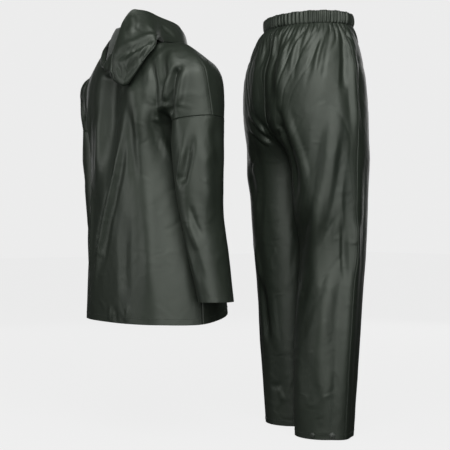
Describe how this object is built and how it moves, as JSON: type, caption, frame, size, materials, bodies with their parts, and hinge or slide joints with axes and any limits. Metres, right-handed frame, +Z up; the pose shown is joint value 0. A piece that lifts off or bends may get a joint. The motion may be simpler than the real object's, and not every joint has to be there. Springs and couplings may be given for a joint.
{
  "type": "hooded rain suit, jacket and trousers",
  "caption": "Waterproof two-piece suit: hooded jacket with dropped shoulders and elasticated-waist trousers, standing hollow side by side.",
  "frame": {"origin": "middle of the jacket's neck, level with the top of the shoulder seams, where the wearer's shoulders hold it up", "axes": "+Z up; the wearer's front faces -Y and the wearer's left is +X; the trousers stand to the wearer's right and front"},
  "size_m": [0.7063, 0.6157, 1.0628],
  "materials": {
    "coated_cloth": "dark olive green coated cloth with a soft satin shine",
    "press_stud": "dull dark green enamelled metal caps"
  },
  "bodies": {
    "root": {"jacket_back": "coated_cloth", "jacket_front_left": "coated_cloth", "jacket_front_right": "coated_cloth", "front_flap": "coated_cloth", "sleeve_left": "coated_cloth", "sleeve_right": "coated_cloth", "hood_centre": "coated_cloth", "hood_left": "coated_cloth", "hood_right": "coated_cloth", "waistband": "coated_cloth", "leg_back_left": "coated_cloth", "leg_front_left": "coated_cloth", "leg_back_right": "coated_cloth", "leg_front_right": "coated_cloth", "flap_snap_1": "press_stud", "flap_snap_2": "press_stud", "flap_snap_3": "press_stud", "flap_snap_4": "press_stud", "flap_snap_5": "press_stud", "flap_snap_6": "press_stud", "hem_snap_left_inner": "press_stud", "hem_snap_left_outer": "press_stud", "hem_snap_right_inner": "press_stud", "hem_snap_right_outer": "press_stud"}
  },
  "joints": []
}
